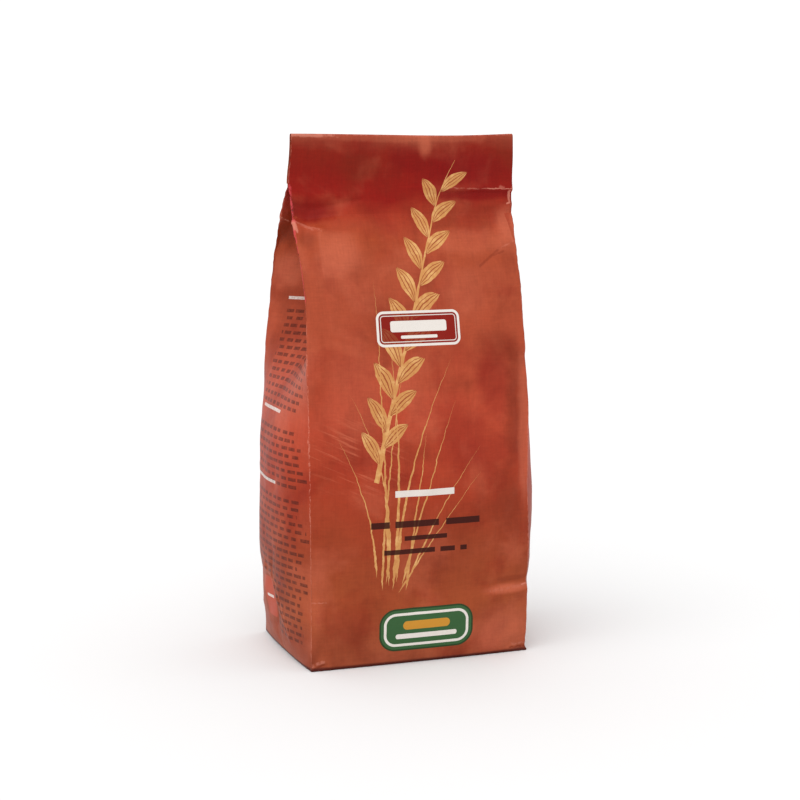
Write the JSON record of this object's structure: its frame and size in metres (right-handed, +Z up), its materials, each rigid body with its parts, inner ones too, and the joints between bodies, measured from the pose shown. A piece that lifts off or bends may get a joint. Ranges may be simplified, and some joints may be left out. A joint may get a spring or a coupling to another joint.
{
  "type": "paper bag of barley flakes",
  "caption": "Full gusseted paper bag of rolled barley flakes, standing on its block bottom, with its mouth pressed flat into a band that is folded over and glued shut.",
  "frame": {"origin": "middle of the base, on the surface that the bag stands on", "axes": "+Z up to the folded band at the mouth, the front panel faces -Y, and +X is to the right as seen from the front"},
  "size_m": [0.1412, 0.098, 0.275],
  "materials": {
    "printed_paper": "satin rust-red print with soft folds and creases"
  },
  "bodies": {
    "root": {"bag": "printed_paper"}
  },
  "joints": []
}
